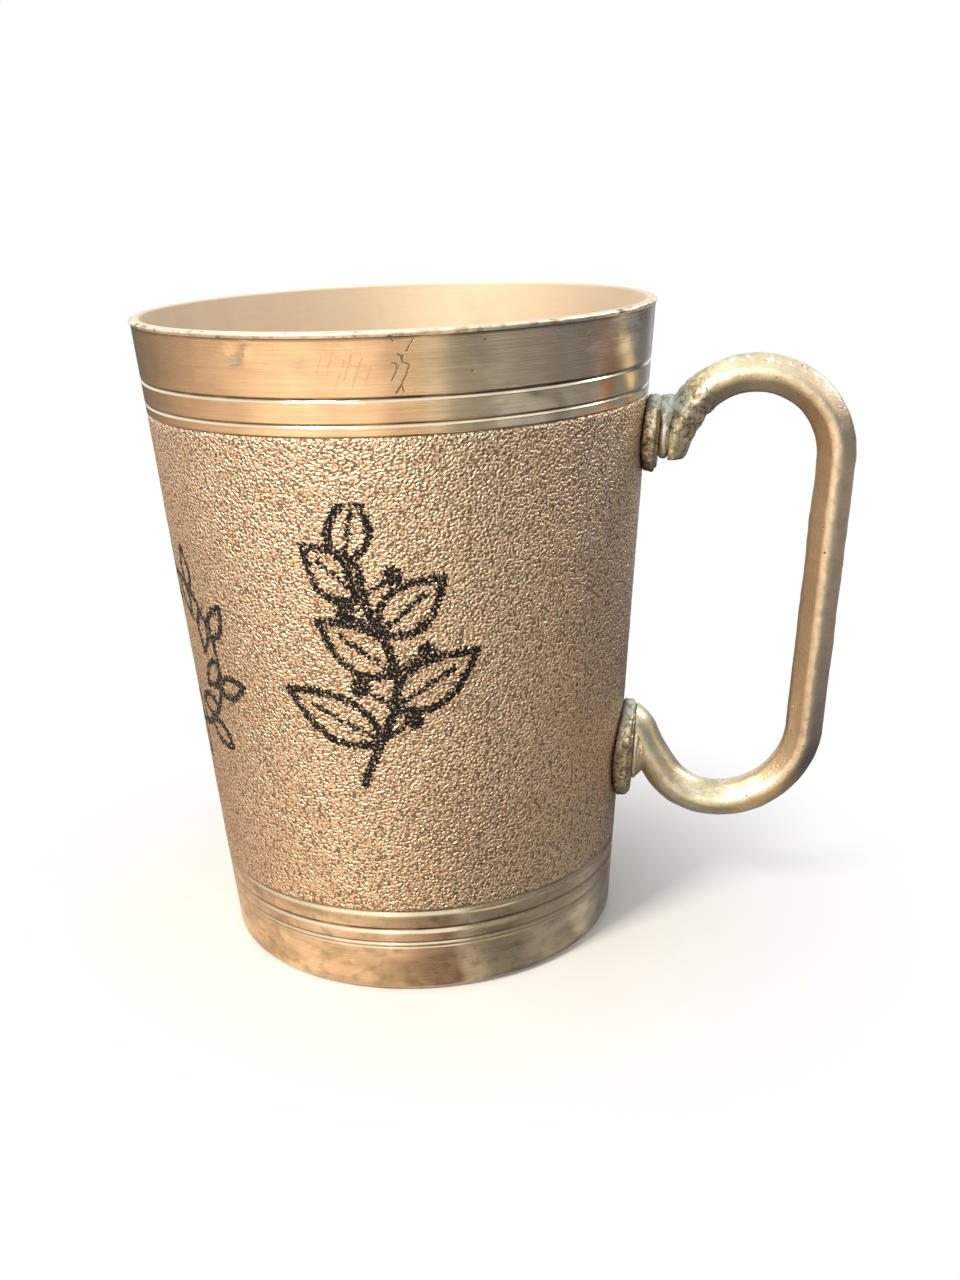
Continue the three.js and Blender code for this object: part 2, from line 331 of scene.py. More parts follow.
world = bpy.data.worlds.new("white_room")
world.use_nodes = True
scene.world = world
room = world.node_tree
level = ramp(seen_rays(room), 0, 1, ROOM_FILL, ROOM_WHITE)
set_sockets(room.nodes["Background"], {"Color": (1, 1, 1, 1), "Strength": level})

for name, place, aim, (wide, tall), watts, colour, lights_table in LAMPS:
    lamp = bpy.data.lights.new(name, "AREA")
    lamp.shape = "RECTANGLE"
    lamp.size = wide
    lamp.size_y = tall
    lamp.energy = watts
    lamp.color = colour
    stand = bpy.data.objects.new(name, lamp)
    stand.location = place
    stand.rotation_euler = (Vector((0, 0, aim)) - Vector(place)).to_track_quat("-Z", "Y").to_euler()
    stand.visible_diffuse = lights_table
    scene.collection.objects.link(stand)


# Cup: one sheet of aluminium spun to a tapered cup, then turned. The wall between the lines is stippled,
# the bands near the mouth and the base are brushed, and the lip is rough from use.
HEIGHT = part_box("mug_body")[1].z
MOUTH_RADIUS = 0.04425
BASE_RADIUS = 0.0349
WALL = 0.0016
FLOOR = 0.0022
FLOOR_FILLET = 0.004
BASE_CORNER = 0.002
FOOT_BAND = 0.0094
LOWER_BEAD = 0.0028
UPPER_BEAD = 0.0035
RIM_BAND = 0.0099
MIDDLE_BAND = 0.0038
NARROW_BAND = 0.0019
LIP_DEPTH = 0.0004
LIP_FLARE = 0.00025
PRINT_BOTTOM = 0.036
PRINT_TOP = 0.083
FINE_FROM = radians(-168)
FINE_TO = radians(-62)
FINE_COLUMNS = 124
OTHER_COLUMNS = 188
LINE_ROW_STEP = 0.0007
PLAIN_ROW_STEP = 0.0009
PRINT_ROW_STEP = 0.00064
INNER_ROW_STEP = 0.0035
INNER_LINE_DEPTH = 0.00018
INNER_LINE_ROWS = (0.0007, 0.0003, -0.0003, -0.0007)
UNDER_RING_DEPTH = 0.00007
LIP_SQUARENESS = 0.8

taper = atan((MOUTH_RADIUS - BASE_RADIUS) / HEIGHT)
wall_across = WALL / cos(taper)
bead_line = FOOT_BAND + LOWER_BEAD
stipple_bottom = bead_line + UPPER_BEAD
rim_line = HEIGHT - RIM_BAND
middle_line = rim_line - MIDDLE_BAND
stipple_top = middle_line - NARROW_BAND
lip_foot = HEIGHT - 2.2 * LIP_DEPTH

# Each turned line: its height, its depth, and the widths of its bright lower side and dark upper side.
LINES = (
    (FOOT_BAND - 0.0005, 0.00014, 0.0004, 0.0002),
    (FOOT_BAND + 0.0003, 0.00022, 0.0005, 0.0003),
    (bead_line, 0.00038, 0.0009, 0.0004),
    (stipple_bottom, 0.0004, 0.001, 0.0004),
    (stipple_top, 0.00022, 0.00042, 0.0003),
    (middle_line, 0.00022, 0.00042, 0.00032),
    (rim_line, 0.00026, 0.00045, 0.0004),
)


def wall_radius(z):
    """Radius of the plain outer wall at a height."""
    return BASE_RADIUS + tan(taper) * z


def steps_between(start, end, step):
    """Evenly spaced values from start to end, both included."""
    return np.linspace(start, end, max(2, round(abs(end - start) / step) + 1))


def line_depth(z):
    """How far the turned lines lie below the plain wall at a height."""
    depths = [0.0]
    for centre, deep, below, above in LINES:
        reach = above if z > centre else below
        depths.append(deep * (1 - abs(z - centre) / reach))
    return max(depths)


def outer_heights():
    """Heights of the rows up the outer wall, close together in the turned lines."""
    first = BASE_CORNER * (1 - sin(taper))
    rows = [first]
    for end, step in (
        (stipple_bottom, LINE_ROW_STEP),
        (PRINT_BOTTOM, PLAIN_ROW_STEP),
        (PRINT_TOP, PRINT_ROW_STEP),
        (stipple_top, PLAIN_ROW_STEP),
        (lip_foot, LINE_ROW_STEP),
    ):
        rows += list(steps_between(rows[-1], end, step))[1:]
    for centre, _, below, above in LINES:
        rows = [z for z in rows if not centre - 1.4 * below < z < centre + 1.5 * above]
        rows += [centre - below * share for share in (1.3, 1.0, 0.75, 0.5, 0.25, 0.03)]
        rows += [centre + above * share for share in (0.35, 0.7, 1.0, 1.4)]
    return sorted(z for z in rows if first <= z <= lip_foot)


def cup_section():
    """Half section of the cup as (radius, height, finish), from under the base over the lip to the floor."""
    rows = []
    corner = wall_radius(BASE_CORNER) - BASE_CORNER / cos(taper)
    for share in np.linspace(0.03, 1, 24):
        ring = UNDER_RING_DEPTH * max(0, sin(share * 33)) if share < 0.95 else 0
        rows.append((corner * share, ring, "under"))
    for turn in np.linspace(-pi / 2, -taper, 8)[1:-1]:
        rows.append((corner + BASE_CORNER * cos(turn), BASE_CORNER * (1 + sin(turn)), "foot"))
    for z in outer_heights():
        finish = "foot" if z <= stipple_bottom else "stipple" if z < stipple_top else "rim"
        rows.append((wall_radius(z) - line_depth(z), z, finish))

    inner_lip = wall_radius(HEIGHT) - wall_across
    lip_half = (wall_across + LIP_FLARE) / 2
    for turn in np.linspace(-0.5, pi + 0.1, 16):
        x = np.sign(cos(turn)) * abs(cos(turn)) ** LIP_SQUARENESS
        y = np.sign(sin(turn)) * abs(sin(turn)) ** LIP_SQUARENESS
        finish = "lip" if turn < 1.3 else "inside"
        rows.append((inner_lip + lip_half * (1 + x), HEIGHT + LIP_DEPTH * (y - 1), finish))

    fillet_height = FLOOR + FLOOR_FILLET
    inner_line = dict.fromkeys([rim_line + off for off in INNER_LINE_ROWS], 0)
    inner_line[rim_line] = INNER_LINE_DEPTH
    inner_heights = list(steps_between(lip_foot, fillet_height, INNER_ROW_STEP)) + list(inner_line)
    for z in sorted(inner_heights, reverse=True):
        rows.append((wall_radius(z) - wall_across + inner_line.get(z, 0), z, "inside"))
    fillet = wall_radius(fillet_height) - wall_across - FLOOR_FILLET / cos(taper)
    for turn in np.linspace(-taper, -pi / 2, 8)[1:]:
        rows.append((fillet + FLOOR_FILLET * cos(turn), fillet_height + FLOOR_FILLET * sin(turn), "inside"))
    for share in np.linspace(1, 0.03, 12)[1:]:
        rows.append((fillet * share, FLOOR, "inside"))
    return rows


def ring_faces(rings, columns, closed=False):
    """Faces of a tube of rings, with a cap on each end, or with its last ring joined to its first."""
    faces = []
    for ring in range(rings if closed else rings - 1):
        here, ahead = ring * columns, (ring + 1) % rings * columns
        for column in range(columns):
            beside = (column + 1) % columns
            faces.append((here + column, here + beside, ahead + beside, ahead + column))
    if closed:
        return [(a, d, c, b) for a, b, c, d in faces]
    faces.append(tuple(reversed(range(columns))))
    faces.append(tuple(range((rings - 1) * columns, rings * columns)))
    return faces


def uneven(points, size, seed=0):
    """Smooth noise from about -1 to 1 at each point, with lumps of about the given size."""
    shift = Vector((seed * 3.1, seed * 1.7, seed * 2.3))
    return np.array([noise.noise(Vector(p) / size + shift) for p in points]) * 1.6


def hump(values, middle, spread):
    """1 at the middle, and falling away to nothing over the spread on either side."""
    return np.exp(-(((values - middle) / spread) ** 2))


def swing_from(direction):
    """How far round the cup each point lies from a direction, in radians."""
    return (angles - direction + pi) % (2 * pi) - pi


CUP_FINISHES = ("rim", "stipple", "foot", "lip", "inside", "under")
cup_rows = cup_section()
row_finish = np.array([CUP_FINISHES.index(row[2]) for row in cup_rows])
fine_turns = np.linspace(FINE_FROM, FINE_TO, FINE_COLUMNS)
other_turns = np.linspace(FINE_TO, FINE_FROM + 2 * pi, OTHER_COLUMNS)[1:-1]
CUP_COLUMNS = len(fine_turns) + len(other_turns)
angles = np.tile(np.concatenate([fine_turns, other_turns]), len(cup_rows))
radii = np.repeat([row[0] for row in cup_rows], CUP_COLUMNS)
heights = np.repeat([row[1] for row in cup_rows], CUP_COLUMNS)
finishes = np.repeat(row_finish, CUP_COLUMNS)
around = np.stack([np.cos(angles), np.sin(angles)], -1)
smooth_points = np.column_stack([radii[:, None] * around, heights])

# The wall is not quite true: broad dents from use, the coarse part of the stipple, and a nicked lip.
WALL_WAVE = 0.00006
STIPPLE_LUMP = 0.00004
LIP_WEAR = 0.00008
LIP_DROP = 0.00006
LIP_NICK = 0.0003

is_lip = finishes == CUP_FINISHES.index("lip")
is_stipple = finishes == CUP_FINISHES.index("stipple")
is_inside = finishes == CUP_FINISHES.index("inside")
is_wall = (heights > BASE_CORNER) & (finishes != CUP_FINISHES.index("under"))
off_true = WALL_WAVE * uneven(smooth_points, 0.03) * is_wall
off_true += STIPPLE_LUMP * uneven(smooth_points, 0.001, 1) * is_stipple
lip_wear = np.where(is_lip, uneven(smooth_points, 0.0022, 2), 0)
lip_nicks = np.where(is_lip, np.clip(uneven(smooth_points * (1, 1, 0.3), 0.0035, 3) - 0.5, 0, 1), 0)
off_true += -LIP_WEAR * np.abs(lip_wear) - LIP_NICK * lip_nicks
heights = heights - is_lip * (LIP_DROP * np.abs(lip_wear) + LIP_NICK * lip_nicks)

# Dents in the rim band: direction round the cup in degrees, height, half width and depth.
DENTS = (
    (-111, 0.1088, 0.0011, 0.00028),
    (-108.4, 0.1092, 0.0007, -0.0002),
    (-97, 0.1085, 0.0013, 0.00014),
    (-50, 0.1019, 0.0008, 0.0002),
    (-140, 0.1062, 0.002, 0.0001),
    (65, 0.106, 0.0018, 0.00014),
    (160, 0.104, 0.0025, 0.00018),
)
for direction, height, spread, depth in DENTS:
    away = np.hypot(swing_from(radians(direction)) * radii, heights - height)
    off_true -= depth * hump(away, 0, spread) * is_wall
cup_points = np.column_stack([(radii + off_true)[:, None] * around, heights])
cup = mesh_piece("spun_cup", cup_points, ring_faces(len(cup_rows), CUP_COLUMNS))

# Painted shade lies in the upper side of each turned line, under the lip and in the line inside the mouth,
# and the lower side of each line has a painted highlight.
LIP_SHADE = 0.9
INNER_LINE_SHADE = 0.4
SHADE_SPREAD = 0.0003
FULL_SHADE_DEPTH = 0.00026

dirt_and_shade = LIP_SHADE * hump(heights, HEIGHT - 2.4 * LIP_DEPTH, SHADE_SPREAD)
painted_glint = np.zeros(len(heights))
for centre, deep, below, above in LINES:
    dark_side = hump(heights, centre + 0.35 * above, 0.6 * above)
    dirt_and_shade = np.maximum(dirt_and_shade, dark_side * deep / FULL_SHADE_DEPTH)
    painted_glint = np.maximum(painted_glint, hump(heights, centre - 0.5 * below, 0.42 * below))
inner_line_shade = INNER_LINE_SHADE * hump(heights, rim_line, SHADE_SPREAD)
add_values(cup, "dirt_and_shade", np.clip(np.where(is_inside, inner_line_shade, dirt_and_shade), 0, 1))
add_values(cup, "painted_glint", painted_glint * ~is_inside)

face_finish = np.repeat(row_finish[1:], CUP_COLUMNS)
face_finish = np.append(face_finish, [CUP_FINISHES.index("under"), CUP_FINISHES.index("inside")])
cup.data.polygons.foreach_set("material_index", face_finish)


# Print on the wall: two drawings in black ink, a sprig with berries in front and a ring of leaves beside
# it. They are held as the distance in millimetres from each point of the wall to the nearest ink.
PRINT_LINE = 0.00072
SPRIG_DIRECTION = radians(-87)
SPRIG_HEIGHT = 0.0585
SPRIG_TALL = 0.047
RING_DIRECTION = radians(-152)
RING_HEIGHT = 0.0565
RING_RADIUS = 0.0135
BERRY_RADIUS = 0.0017
BERRY_OFF = (0.0052, 0.0034)
STEM_SWAY = 0.0035
LEAF_PLACES = (0.2, 0.36, 0.52, 0.68, 0.84)
LEAF_LENGTH = 0.0175
LEAF_SHRINK = 0.0014
LEAF_HALF_WIDTH = 0.0037
RING_LEAVES = 18
NO_INK = 0.005


def leaf_lines(base, lean, length, wide):
    """Outline and middle rib of a leaf that grows from a base in a direction."""
    forward = np.array((cos(lean), sin(lean)))
    side = np.array((-sin(lean), cos(lean)))
    share = np.linspace(0, 1, 15)
    bulge = wide * np.sin(pi * share ** 0.8)
    middle = base + length * share[:, None] * forward
    left, right = middle + bulge[:, None] * side, middle - bulge[:, None] * side
    rib = middle[: 1 + int(0.7 * len(middle))]
    return [(np.concatenate([left, right[::-1]]), PRINT_LINE), (rib, 0.7 * PRINT_LINE)]


def sprig_lines():
    """A swaying stem with leaves on either side by turns, one at its tip, and berries."""
    share = np.linspace(0, 1, 40)
    stem = np.column_stack([STEM_SWAY * np.sin(5.2 * share - 0.9), (share - 0.5) * SPRIG_TALL * 0.8])
    lines = [(stem, 1.15 * PRINT_LINE)]
    for number, place in enumerate(LEAF_PLACES):
        base = stem[round(place * (len(stem) - 1))]
        side = 1 if number % 2 else -1
        length = LEAF_LENGTH - LEAF_SHRINK * number
        lines += leaf_lines(base, pi / 2 - side * radians(62 - 4 * number), length, LEAF_HALF_WIDTH)
        berry = base + np.array((-side * BERRY_OFF[0], BERRY_OFF[1]))
        lines += [(np.array([base, berry]), 0.7 * PRINT_LINE), (np.array([berry, berry]), BERRY_RADIUS)]
    return lines + leaf_lines(stem[-1], radians(80), 0.011, 0.0032)


def leaf_ring_lines():
    """A hoop with leaves that lean out and in by turns."""
    turns = np.linspace(0, 2 * pi, 60)
    lines = [(RING_RADIUS * np.column_stack([np.cos(turns), np.sin(turns)]), PRINT_LINE)]
    for number in range(RING_LEAVES):
        turn = number * 2 * pi / RING_LEAVES
        base = RING_RADIUS * np.array((cos(turn), sin(turn)))
        lean = turn + pi / 2 + radians(-55 if number % 2 else 130)
        lines += leaf_lines(base, lean, 0.0075, 0.0018)[:1]
    return lines


def distance_to(points, line):
    """Distance from each point to a line of straight steps."""
    nearest = np.full(len(points), np.inf)
    for start, end in zip(line[:-1], line[1:]):
        step = end - start
        along = np.clip((points - start) @ step / max(step @ step, 1e-12), 0, 1)
        nearest = np.minimum(nearest, np.linalg.norm(points - start - along[:, None] * step, axis=1))
    return nearest


ink = np.full(len(cup_points), NO_INK)
for direction, height, lines in (
    (SPRIG_DIRECTION, SPRIG_HEIGHT, sprig_lines()),
    (RING_DIRECTION, RING_HEIGHT, leaf_ring_lines()),
):
    flat = np.column_stack([swing_from(direction) * radii, heights - height])
    near = np.flatnonzero(is_stipple & (np.abs(flat) < 0.6 * SPRIG_TALL).all(1))
    for line, half_width in lines:
        ink[near] = np.minimum(ink[near], distance_to(flat[near], line) - half_width)
add_values(cup, "ink", ink * 1000)


# Finishes of the cup. Colours are those of warm, worn aluminium, with painted shade, highlights and
# reflections where noted.
BAND_COLOUR = (0.93, 0.7, 0.47, 1)
BAND_TARNISH = (0.5, 0.36, 0.22, 1)
FOOT_COLOUR = (0.94, 0.74, 0.53, 1)
FOOT_TARNISH = (0.36, 0.28, 0.17, 1)
INSIDE_COLOUR = (0.81, 0.71, 0.57, 1)
INSIDE_TARNISH = (0.78, 0.66, 0.53, 1)
OLIVE_STAIN = (0.26, 0.23, 0.14, 1)
# Painted reflections: where round the cup they lie, in degrees, and their dark and pale colours.
PAINTED_REFLECTION_TURNS = (-66, -56, 100, 150)
PAINTED_REFLECTION_DARK = (0.55, 0.48, 0.37, 1)
PAINTED_REFLECTION_PALE = (1, 0.87, 0.68, 1)
STIPPLE_PITCH = 0.0004
STIPPLE_DEPTH = 0.00054
STIPPLE_HIGH = (0.94, 0.69, 0.47, 1)
# Painted shade in the stipple's hollows.
STIPPLE_HOLLOW_SHADE = (0.27, 0.21, 0.145, 1)
# Painted highlight on the lower side of each turned line.
LINE_GLINT_COLOUR = (1, 0.86, 0.61, 1)
LIP_COLOUR = (0.97, 0.89, 0.7, 1)
# Dark of grime, pits and scratches, also used for painted shade in the turned lines, under the lip and where
# the washers meet the wall.
GRIME_AND_SHADE = (0.05, 0.036, 0.022, 1)
INK = (0.008, 0.006, 0.006, 1)

# Scratches on the rim band: half width, strength, and places as (degrees round the cup, height).
SCRATCHES = [
    (0.00018, 0.75, ((-74.8, 0.1106), (-76.3, 0.1089))),
    (0.00026, 0.8, ((-77.8, 0.1085), (-76.9, 0.1082))),
    (0.0002, 0.75, ((-77.2, 0.1082), (-77.0, 0.1074), (-75.8, 0.107), (-76.2, 0.1058), (-77.6, 0.104))),
    (0.00024, 0.8, ((-77.6, 0.104), (-78.5, 0.1029))),
    (0.00018, 0.65, ((-79.1, 0.1073), (-78.2, 0.1072), (-78.3, 0.1061), (-79.2, 0.1047))),
    (0.00014, 0.6, ((-77.6, 0.1069), (-78.3, 0.1061))),
    (0.00018, 0.7, ((-77.6, 0.1042), (-76.9, 0.1031))),
    (0.00018, 0.7, ((-78.9, 0.1109), (-78.4, 0.1104))),
    (0.00026, 0.8, ((-63.7, 0.1055), (-63.4, 0.1055))),
    (0.00022, 0.7, ((-36.4, 0.109), (-36.2, 0.109))),
    (0.0002, 0.7, ((-61.2, 0.1098), (-60.9, 0.1098))),
    (0.0003, 0.25, ((-108.7, 0.1101), (-108.8, 0.1086))),
    (0.0003, 0.12, ((-112.7, 0.1102), (-111.9, 0.1087))),
    (0.00025, 0.1, ((-102.0, 0.1101), (-102.1, 0.109))),
]
for turn, top, bottom, lean in (
    (-84.6, 0.1082, 0.1036, 2.4),
    (-86.5, 0.1088, 0.1049, 1.9),
    (-88.1, 0.1079, 0.1031, 2.3),
    (-90.2, 0.1093, 0.1058, 1.5),
    (-82.9, 0.1069, 0.1042, 1.4),
    (-92.4, 0.1086, 0.1061, 1.2),
):
    SCRATCHES.append((0.00012, 0.18, ((turn, top), (turn - lean, bottom))))


def raised(height, depth):
    """A bump of a depth in metres."""
    inputs = {"Height": height, "Distance": depth, "Strength": 1.0}
    return add_node(height.id_data, "Bump", inputs).outputs[0]


def pits(tree, spacing, share, radius):
    """1 in small round pits, one in each cell of the given share of cells."""
    cells = add_node(tree, "TexVoronoi", {"Vector": place_on(tree), "Scale": 1 / spacing})
    number = add_node(tree, "SeparateColor", {0: cells.outputs["Color"]}).outputs[0]
    chosen = sums("LESS_THAN", number, share)
    hole = ramp(cells.outputs["Distance"], 0.6 * radius / spacing, radius / spacing, 1, 0)
    return times(chosen, hole)


def place_on_wall(tree):
    """Place on the wall as the way round the cup and the height, in metres."""
    axes = add_node(tree, "SeparateXYZ", {0: place_on(tree)}).outputs
    way_round = times(sums("ARCTAN2", axes[1], axes[0]), MOUTH_RADIUS)
    return add_node(tree, "CombineXYZ", {0: way_round, 1: axes[2]}).outputs[0]


def scratch(place, start, end, half_width):
    """1 along a straight scratch between two places on the wall."""
    start, end = [Vector((radians(turn) * MOUTH_RADIUS, height, 0)) for turn, height in (start, end)]
    along = (end - start).normalized()
    across = Vector((-along.y, along.x, 0))
    from_start = vectors("SUBTRACT", place, start)
    run = vectors("DOT_PRODUCT", from_start, along, "Value")
    off = sums("ABSOLUTE", vectors("DOT_PRODUCT", from_start, across, "Value"))
    half_length = (end - start).length / 2
    past_end = sums("ABSOLUTE", sums("SUBTRACT", run, half_length))
    line = ramp(off, 0.4 * half_width, half_width, 1, 0)
    return times(line, ramp(past_end, half_length, half_length + half_width, 1, 0))


def brushed_finish(name, colour, tarnish, roughness, stains, specks, painted_reflections=0.0, scratches=()):
    """Turned aluminium: fine lines round the axis, stains, specks, pits and scratches, with painted shade
    and highlights at the turned lines and painted reflections on the right.
    """
    material, tree, shader = new_material(name)
    lines = grain(tree, 0.00012, (150, 150, 1), 3)
    patches = ramp(grain(tree, 0.006, (1.6, 1.6, 0.8), 6, 0.6), 0.4, 0.66)
    spots = ramp(grain(tree, 0.0018, (1.4, 1.4, 1), 6), 0.5, 0.7)
    stained = mixed(times(patches, stains), colour, tarnish)
    stained = mixed(times(spots, specks), stained, OLIVE_STAIN)
    lined = mixed(ramp(lines, 0.35, 0.7, 0, 0.4), stained, tarnish)
    # Painted highlight on the lower side of each turned line.
    lined = mixed(times(painted(tree, "painted_glint"), 0.85), lined, LINE_GLINT_COLOUR)
    around = add_node(tree, "SeparateXYZ", {0: place_on_wall(tree)}).outputs[0]
    front_edge, front_full, back_full, back_edge = [radians(turn) * MOUTH_RADIUS for turn in PAINTED_REFLECTION_TURNS]
    on_right = ramp(around, front_edge, front_full)
    on_right = times(on_right, ramp(around, back_full, back_edge, painted_reflections, 0))
    # Painted reflections: pale and dark patches on the right side of the cup.
    reflection_patches = ramp(grain(tree, 0.009, (2, 2, 0.9), 4, 0.4), 0.49, 0.54)
    lined = mixed(on_right, lined, mixed(reflection_patches, PAINTED_REFLECTION_DARK, PAINTED_REFLECTION_PALE))
    # Painted shade from the mesh, broken up by noise, then darker pits and scratches.
    shade_break_up = ramp(grain(tree, 0.003, (2, 2, 1), 3), 0.3, 0.5, 0.6, 1)
    dark = times(painted(tree, "dirt_and_shade"), shade_break_up)
    dark = sums("MAXIMUM", dark, times(pits(tree, 0.007, 0.15, 0.00018), 0.7))
    wavy = times(sums("SUBTRACT", grain(tree, 0.0012), 0.5), 0.0005)
    wavy = add_node(tree, "CombineXYZ", {0: wavy}).outputs[0]
    wall = vectors("ADD", place_on_wall(tree), wavy)
    cut = None
    for half_width, strength, places in scratches:
        for start, end in zip(places[:-1], places[1:]):
            mark = times(scratch(wall, start, end, half_width), 0.75 * strength)
            cut = sums("MAXIMUM", cut, mark) if cut else mark
    height = lines
    if cut:
        dark = sums("MAXIMUM", dark, cut)
        height = sums("SUBTRACT", lines, times(cut, 4))
    rough = ramp(lines, 0.3, 0.7, roughness, roughness + 0.08)
    set_sockets(shader, {
        "Base Color": mixed(dark, lined, GRIME_AND_SHADE),
        "Roughness": sums("ADD", rough, ramp(patches, 0, 1, 0, 0.15 * stains)),
        "Metallic": 1.0,
        "Anisotropic": 0.6,
        "Anisotropic Rotation": 0.25,
        "Normal": raised(height, 0.00002),
    })
    return material


def stippled_finish():
    """The wall between the lines: a close pebbled grain with painted shade in its duller hollows, and the
    worn ink over it.
    """
    material, tree, shader = new_material("stippled_wall")
    bumps = grain(tree, STIPPLE_PITCH, (1.15, 1.15, 1), 0.6)
    high = ramp(bumps, 0.36, 0.54)
    patches = ramp(grain(tree, 0.014, detail=3), 0.4, 0.7)
    # Painted shade in the hollows of the grain.
    metal = mixed(high, STIPPLE_HOLLOW_SHADE, STIPPLE_HIGH)
    metal = mixed(times(patches, 0.25), metal, BAND_TARNISH)
    rough_edge = sums("ADD", painted(tree, "ink"), ramp(bumps, 0.3, 0.7, -0.3, 0.3))
    inked = ramp(rough_edge, -0.12, 0.12, 1, 0)
    kept = ramp(grain(tree, 0.0004), 0.57, 0.66, 1, 0.15)
    inked = times(inked, kept)
    set_sockets(shader, {
        "Base Color": mixed(inked, metal, INK),
        "Roughness": ramp(high, 0, 1, 0.42, 0.36),
        "Metallic": ramp(inked, 0, 1, 1, 0),
        "Normal": raised(bumps, STIPPLE_DEPTH),
        "Specular IOR Level": 0.15,
    })
    return material


def lip_finish():
    """The bare edge of the mouth: bright where it is knocked and dark in the nicks."""
    material, tree, shader = new_material("worn_lip")
    chips = ramp(grain(tree, 0.0022, detail=4), 0.3, 0.52)
    dirt_and_shade = ramp(grain(tree, 0.0015, (1.6, 1.6, 1), 4), 0.6, 0.7)
    worn = mixed(chips, BAND_TARNISH, LIP_COLOUR)
    set_sockets(shader, {
        "Base Color": mixed(times(dirt_and_shade, 0.8), worn, GRIME_AND_SHADE),
        "Roughness": ramp(chips, 0, 1, 0.5, 0.32),
        "Metallic": 1.0,
        "Normal": raised(chips, 0.00005),
    })
    return material


for finish in (
    brushed_finish(
        "brushed_rim", BAND_COLOUR, BAND_TARNISH,
        roughness=0.11, stains=0.35, specks=0, painted_reflections=0.55, scratches=SCRATCHES,
    ),
    stippled_finish(),
    brushed_finish(
        "brushed_foot", FOOT_COLOUR, FOOT_TARNISH, roughness=0.15, stains=0.7, specks=0.6, painted_reflections=0.2
    ),
    lip_finish(),
    brushed_finish("spun_inside", INSIDE_COLOUR, INSIDE_TARNISH, roughness=0.85, stains=0.6, specks=0),
    brushed_finish("turned_underside", BAND_COLOUR, BAND_TARNISH, roughness=0.34, stains=0.7, specks=0.3),
):
    cup.data.materials.append(finish)
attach(cup, "root")
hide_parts("mug_body")


# Handle: one aluminium casting, a rod with soft flats bent to a closed C. Its upper foot stands on a
# collar, and its lower foot leans in over one down to the flange.
UPPER_RIVET_BELOW_MOUTH = 0.0225
RIVET_SPACING = 0.0576
GRIP_REACH = 0.0322
ROD_THICKNESS = 0.0067
ROD_WIDTH = 0.0076
INNER_FLAT_CUT = 0.0031
OUTER_FLAT_CUT = 0.0025
ROD_EDGE = 0.0012
FLANGE_BACK = 0.0001
FLANGE_FACE = 0.00244
COLLAR_BACK = 0.0025
COLLAR_FACE = 0.0041
FOOT_FACE = 0.00415
FOOT_REACH = 0.00525
UPPER_BEND_DROP = 0.0021
UPPER_END = -0.004
UPPER_TAPER = 0.0058
LOWEST_REACH = 0.01675
LOWEST_DROP = 0.0081
LOWER_FOOT_BEND = 0.0113
LOWER_FOOT_LEAN = radians(37)
LOWER_END = 0.0068
LOWER_END_ROUND = 0.0018
LOWER_SHOULDER = 0.0012
ROUND_OVER = 0.007
SOFT_FLATS = 0.35
ROD_STEP = 0.0005
UPPER_COLLAR_RADIUS = 0.0043
LOWER_COLLAR_RADIUS = 0.0056
RIVET_BORE = 0.00225
SOCKET_DEPTH = 0.0021
SEAT_GAP = 0.00025
CUT_REACH = 0.02
CUT_CORE = 0.0005
UPPER_FOOT_REACH = 0.014
UPPER_FOOT_HALF = 0.007
UPPER_CORNER = 0.0014
UPPER_NARROWING = (0.3, 0.1)
UPPER_THINNING = 0.12
LOWER_FOOT_SPAN = 0.012
LOWER_END_REACH = 0.009
SHOULDER_PLACE = 0.0055
SHOULDER_SPREAD = 0.0026
BROAD_LUMP = 0.00008
FINE_LUMP = 0.00004
GNARLED_LUMP = 0.00026

# Marks on the handle: places and spans as reach from the wall, across, and along it from the upper rivet.
GNARLED_PLACE = (0.006, 0, 0.004)
GNARLED_SPAN = (0.006, 0.008, 0.008)
OXIDE_PLACE = (0.0055, 0, 0.006)
OXIDE_SPAN = (0.0035, 0.006, 0.0045)
ARCH_FILM = 0.42
RIDGE_SPREAD = 0.03
HELD_FROM = 0.018
HELD_OVER = 0.01
SMUDGE_PLACE = (0.0172, -0.0634)
SMUDGE_SPAN = (0.0036, 0.0013)
HANDLE_COLOUR = (0.83, 0.77, 0.55, 1)
HELD_COLOUR = (0.84, 0.64, 0.46, 1)
WORN_COLOUR = (0.92, 0.79, 0.59, 1)
HANDLE_TARNISH = (0.58, 0.46, 0.3, 1)
OXIDE = (0.46, 0.45, 0.33, 1)
OXIDE_PALE = (0.78, 0.87, 0.81, 1)

rivet_height = HEIGHT - UPPER_RIVET_BELOW_MOUTH
handle_place = Matrix.Translation((wall_radius(rivet_height), 0, rivet_height))
handle_frame = handle_place @ Matrix.Rotation(taper, 4, "Y")


def from_handle(local):
    """Points given as reach from the wall, across and along it, in the frame of the CAD."""
    return [handle_frame @ Vector(p) for p in local]


def arc(reach, along, radius, start, end):
    """Stations on an arc: reach from the wall, distance along it, and direction of travel."""
    sense = 1 if end > start else -1
    turns = steps_between(start, end, ROD_STEP / radius)
    return [(reach + radius * cos(t), along + radius * sin(t), t + sense * pi / 2) for t in turns]


